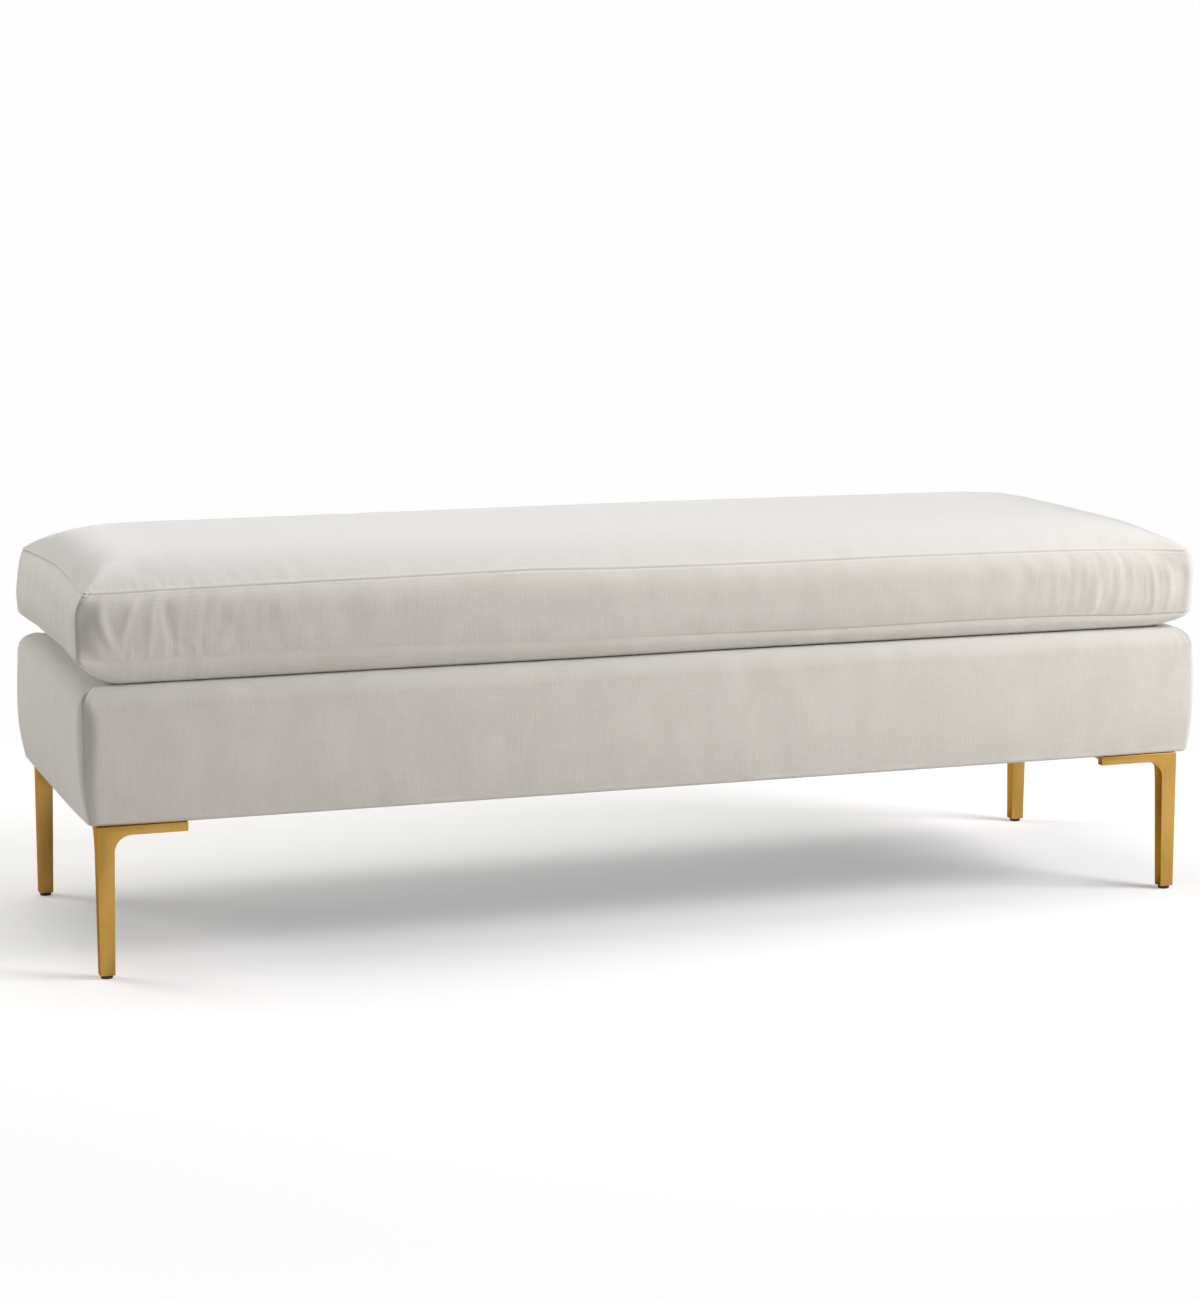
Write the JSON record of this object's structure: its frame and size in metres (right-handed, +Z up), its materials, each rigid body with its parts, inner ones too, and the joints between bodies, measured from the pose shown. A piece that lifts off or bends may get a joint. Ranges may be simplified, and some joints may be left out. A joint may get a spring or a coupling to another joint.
{
  "type": "upholstered bench",
  "caption": "Long upholstered bench: loose box cushion with a sewn band on a fabric-covered timber box, carried on slim L-shaped metal legs with screw-in levelling feet.",
  "frame": {"origin": "on the floor under the middle of the bench", "axes": "+X along the length, to the right seen from the front; +Y from the front to the back; +Z up"},
  "size_m": [1.512, 0.488, 0.516],
  "materials": {
    "velvet": "matte",
    "brass": "satin",
    "timber": "matte",
    "foam": "matte",
    "fibre": "matte",
    "webbing": "matte",
    "dust_cloth": "matte",
    "screw": "satin",
    "foot_plastic": "matte",
    "zip_tape": "matte",
    "zip_coil": "matte",
    "zip_metal": "satin"
  },
  "bodies": {
    "bench": {"front_rail": "timber", "back_rail": "timber", "left_end_rail": "timber", "right_end_rail": "timber", "left_stretcher": "timber", "right_stretcher": "timber", "corner_block_front_left": "timber", "corner_block_front_right": "timber", "corner_block_back_left": "timber", "corner_block_back_right": "timber", "cross_strap_1": "webbing", "cross_strap_2": "webbing", "cross_strap_3": "webbing", "cross_strap_4": "webbing", "cross_strap_5": "webbing", "cross_strap_6": "webbing", "front_long_strap": "webbing", "back_long_strap": "webbing", "side_padding": "foam", "deck_foam": "foam", "base_cover": "velvet", "dust_cloth": "dust_cloth", "leg_front_left": "brass", "leg_screw_front_left_1": "screw", "leg_screw_front_left_2": "screw", "leg_screw_front_left_3": "screw", "leg_front_right": "brass", "leg_screw_front_right_1": "screw", "leg_screw_front_right_2": "screw", "leg_screw_front_right_3": "screw", "leg_back_left": "brass", "leg_screw_back_left_1": "screw", "leg_screw_back_left_2": "screw", "leg_screw_back_left_3": "screw", "leg_back_right": "brass", "leg_screw_back_right_1": "screw", "leg_screw_back_right_2": "screw", "leg_screw_back_right_3": "screw"},
    "cushion": {"cushion_cover": "velvet", "foam_core": "foam", "upper_fibre": "fibre", "lower_fibre": "fibre", "lower_zip_tape": "zip_tape", "upper_zip_tape": "zip_tape", "zip_chain": "zip_coil"},
    "zip_slider": {"zip_slider": "zip_metal"},
    "zip_pull_tab": {"zip_pull_tab": "zip_metal"},
    "foot_pad_front_left": {"foot_pad_front_left": "foot_plastic"},
    "foot_stem_front_left": {"foot_stem_front_left": "screw"},
    "foot_pad_front_right": {"foot_pad_front_right": "foot_plastic"},
    "foot_stem_front_right": {"foot_stem_front_right": "screw"},
    "foot_pad_back_left": {"foot_pad_back_left": "foot_plastic"},
    "foot_stem_back_left": {"foot_stem_back_left": "screw"},
    "foot_pad_back_right": {"foot_pad_back_right": "foot_plastic"},
    "foot_stem_back_right": {"foot_stem_back_right": "screw"}
  },
  "joints": [
    {"name": "cushion_lift", "type": "slide", "parent": "bench", "child": "cushion", "axis": [0, 0, 1], "range_m": [0, 0.25]},
    {"name": "zip_run", "type": "slide", "parent": "cushion", "child": "zip_slider", "axis": [-1, 0, 0], "range_m": [0, 1.27]},
    {"name": "zip_tab_swing", "type": "hinge", "parent": "zip_slider", "child": "zip_pull_tab", "pos_m": [0.645, 0.2416, 0.42825], "axis": [1, 0, 0], "range_deg": [0, 150]},
    {"name": "foot_travel_front_left", "type": "slide", "parent": "bench", "child": "foot_pad_front_left", "axis": [0, 0, -1], "range_m": [0, 0.006]},
    {"name": "stem_turn_front_left", "type": "hinge", "parent": "foot_pad_front_left", "child": "foot_stem_front_left", "pos_m": [-0.7258, -0.2278, 0], "axis": [0, 0, -1], "range_deg": [0, 2165]},
    {"name": "foot_travel_front_right", "type": "slide", "parent": "bench", "child": "foot_pad_front_right", "axis": [0, 0, -1], "range_m": [0, 0.006]},
    {"name": "stem_turn_front_right", "type": "hinge", "parent": "foot_pad_front_right", "child": "foot_stem_front_right", "pos_m": [0.7258, -0.2278, 0], "axis": [0, 0, -1], "range_deg": [0, 2165]},
    {"name": "foot_travel_back_left", "type": "slide", "parent": "bench", "child": "foot_pad_back_left", "axis": [0, 0, -1], "range_m": [0, 0.006]},
    {"name": "stem_turn_back_left", "type": "hinge", "parent": "foot_pad_back_left", "child": "foot_stem_back_left", "pos_m": [-0.7258, 0.2278, 0], "axis": [0, 0, -1], "range_deg": [0, 2165]},
    {"name": "foot_travel_back_right", "type": "slide", "parent": "bench", "child": "foot_pad_back_right", "axis": [0, 0, -1], "range_m": [0, 0.006]},
    {"name": "stem_turn_back_right", "type": "hinge", "parent": "foot_pad_back_right", "child": "foot_stem_back_right", "pos_m": [0.7258, 0.2278, 0], "axis": [0, 0, -1], "range_deg": [0, 2165]}
  ],
  "couplings": [
    {"joint": "stem_turn_front_left", "follows": "foot_travel_front_left", "rad_per_m": 6283.2},
    {"joint": "stem_turn_front_right", "follows": "foot_travel_front_right", "rad_per_m": 6283.2},
    {"joint": "stem_turn_back_left", "follows": "foot_travel_back_left", "rad_per_m": 6283.2},
    {"joint": "stem_turn_back_right", "follows": "foot_travel_back_right", "rad_per_m": 6283.2}
  ]
}
